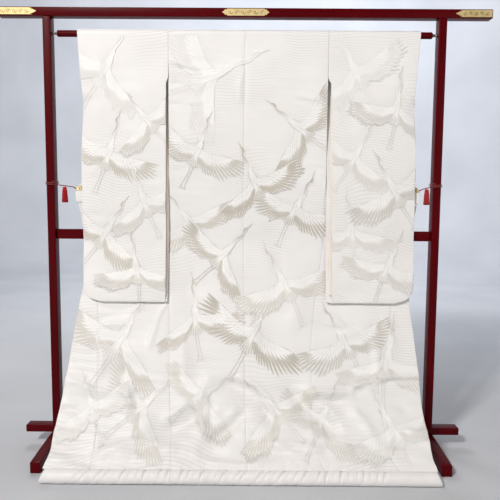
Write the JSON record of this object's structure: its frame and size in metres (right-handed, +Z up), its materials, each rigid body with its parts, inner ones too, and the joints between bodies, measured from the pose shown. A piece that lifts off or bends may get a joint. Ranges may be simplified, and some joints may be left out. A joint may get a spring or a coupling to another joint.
{
  "type": "uchikake wedding kimono on a lacquered kimono stand",
  "caption": "White brocade uchikake wedding kimono with a padded hem, hung spread over the rod of a dark red lacquered kimono stand with brass plates.",
  "frame": {"origin": "on the floor, under the middle of the whole object's box", "axes": "+X to the right of someone facing the garment's back, +Y away from them, +Z up"},
  "size_m": [1.916, 0.6629, 1.756],
  "materials": {
    "brocade": "white silk satin brocade with fine curved wave lines and silvery beige flying cranes",
    "lining_silk": "plain ivory silk lining",
    "lacquer": "dark red lacquer, polished",
    "brass": "engraved brass",
    "steel": "turned steel",
    "silk_cord": "twisted red silk",
    "clip_gold": "pale gold moulded clip"
  },
  "bodies": {
    "root": {"shoulder_left": "brocade", "shoulder_right": "brocade", "back_left": "brocade", "back_right": "brocade", "front_left": "brocade", "front_right": "brocade", "okumi_left": "brocade", "okumi_right": "brocade", "collar_left": "brocade", "collar_neck": "brocade", "collar_right": "brocade", "sleeve_left": "brocade", "sleeve_right": "brocade", "hem_roll_left": "brocade", "hem_roll_back": "brocade", "hem_roll_right": "brocade", "lining_back": "lining_silk", "lining_front_left": "lining_silk", "lining_front_right": "lining_silk", "sleeve_lining_left": "lining_silk", "sleeve_lining_right": "lining_silk", "top_rail": "lacquer", "post_left": "lacquer", "post_right": "lacquer", "middle_rail": "lacquer", "lower_rail": "lacquer", "foot_left": "lacquer", "foot_right": "lacquer", "hanging_rod": "lacquer", "brass_left": "brass", "brass_centre": "brass", "brass_right": "brass", "rod_neck_left": "steel", "rod_neck_right": "steel", "tie_cord_left": "silk_cord", "tie_cord_right": "silk_cord", "tassel_left": "silk_cord", "tassel_right": "silk_cord", "clip_left": "clip_gold", "clip_right": "clip_gold"}
  },
  "joints": []
}
